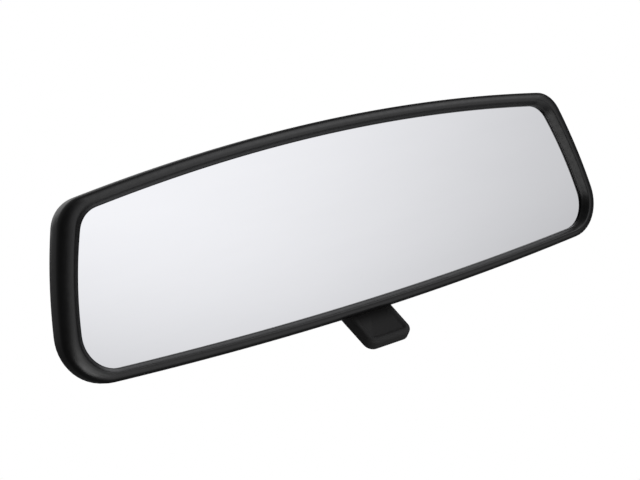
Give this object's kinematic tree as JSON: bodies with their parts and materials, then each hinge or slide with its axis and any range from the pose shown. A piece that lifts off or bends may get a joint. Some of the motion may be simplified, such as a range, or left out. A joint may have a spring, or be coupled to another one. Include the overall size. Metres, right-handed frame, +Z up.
{
  "type": "interior rearview mirror",
  "caption": "Interior rearview mirror: a wedge glass in a black head with a day/night lever, held by a double ball arm on a plate bonded to the windscreen.",
  "frame": {"origin": "centre of the plate face that is bonded to the windscreen", "axes": "+Z up, +Y forwards out of the car, so the glass faces -Y towards the driver, +X along the width"},
  "size_m": [0.2496, 0.1228, 0.084],
  "materials": {
    "black_plastic": "fine grained moulding",
    "lever_plastic": "smooth moulding",
    "mirror": "polished, silvered at the back",
    "silver": "painted silvering",
    "foam": "closed cell foam",
    "zinc": "as cast",
    "steel": "bright plated",
    "black_steel": "black coated",
    "nylon": "natural",
    "rubber": "matt"
  },
  "bodies": {
    "mount": {"windscreen_button": "zinc", "mount_shoe": "black_steel", "shoe_set_screw": "steel", "mount_ball_stud": "steel"},
    "rear_liner": {"rear_ball_liner": "nylon"},
    "rear_seat": {"rear_ball_seat": "nylon"},
    "arm": {"arm_tube": "black_steel", "arm_spring": "steel"},
    "front_seat": {"front_ball_seat": "nylon"},
    "front_liner": {"front_ball_liner": "nylon"},
    "bracket": {"mirror_ball_stud": "steel", "stud_washer": "steel", "stud_nut": "steel", "toggle_bracket": "zinc", "bracket_hinge_pin": "steel", "hinge_clip_left": "black_steel", "hinge_clip_right": "black_steel", "bracket_bumper_left": "rubber", "bracket_bumper_right": "rubber"},
    "head": {"rear_housing": "black_plastic", "front_bezel": "black_plastic", "mirror_glass": "mirror", "silver_backing": "silver", "foam_pad": "foam", "lever_pin": "steel"},
    "lever": {"day_night_lever": "lever_plastic"}
  },
  "joints": [
    {"name": "mount_ball_yaw", "type": "hinge", "parent": "mount", "child": "rear_liner", "pos_m": [0, -0.0195, -0.018], "axis": [0, -0.1736, 0.9848], "range_deg": [-20, 20]},
    {"name": "mount_ball_pitch", "type": "hinge", "parent": "rear_liner", "child": "rear_seat", "pos_m": [0, -0.0195, -0.018], "axis": [1, 0, 0], "range_deg": [-20, 20]},
    {"name": "mount_ball_roll", "type": "hinge", "parent": "rear_seat", "child": "arm", "pos_m": [0, -0.0195, -0.018], "axis": [0, 0.9848, 0.1736], "range_deg": [-45, 45]},
    {"name": "head_ball_roll", "type": "hinge", "parent": "arm", "child": "front_seat", "pos_m": [0, -0.0648, -0.02599], "axis": [0, 0.9848, 0.1736], "range_deg": [-45, 45]},
    {"name": "head_ball_pitch", "type": "hinge", "parent": "front_seat", "child": "front_liner", "pos_m": [0, -0.0648, -0.02599], "axis": [1, 0, 0], "range_deg": [-20, 20]},
    {"name": "head_ball_yaw", "type": "hinge", "parent": "front_liner", "child": "bracket", "pos_m": [0, -0.0648, -0.02599], "axis": [0, -0.1736, 0.9848], "range_deg": [-20, 20]},
    {"name": "head_tilt", "type": "hinge", "parent": "bracket", "child": "head", "pos_m": [0, -0.0878, -0.00699], "axis": [1, 0, 0], "range_deg": [0, 4.5]},
    {"name": "lever_flip", "type": "hinge", "parent": "head", "child": "lever", "pos_m": [0, -0.0903, -0.05029], "axis": [1, 0, 0], "range_deg": [0, 47]}
  ],
  "couplings": [
    {"joint": "lever_flip", "follows": "head_tilt", "ratio": 10.444}
  ]
}
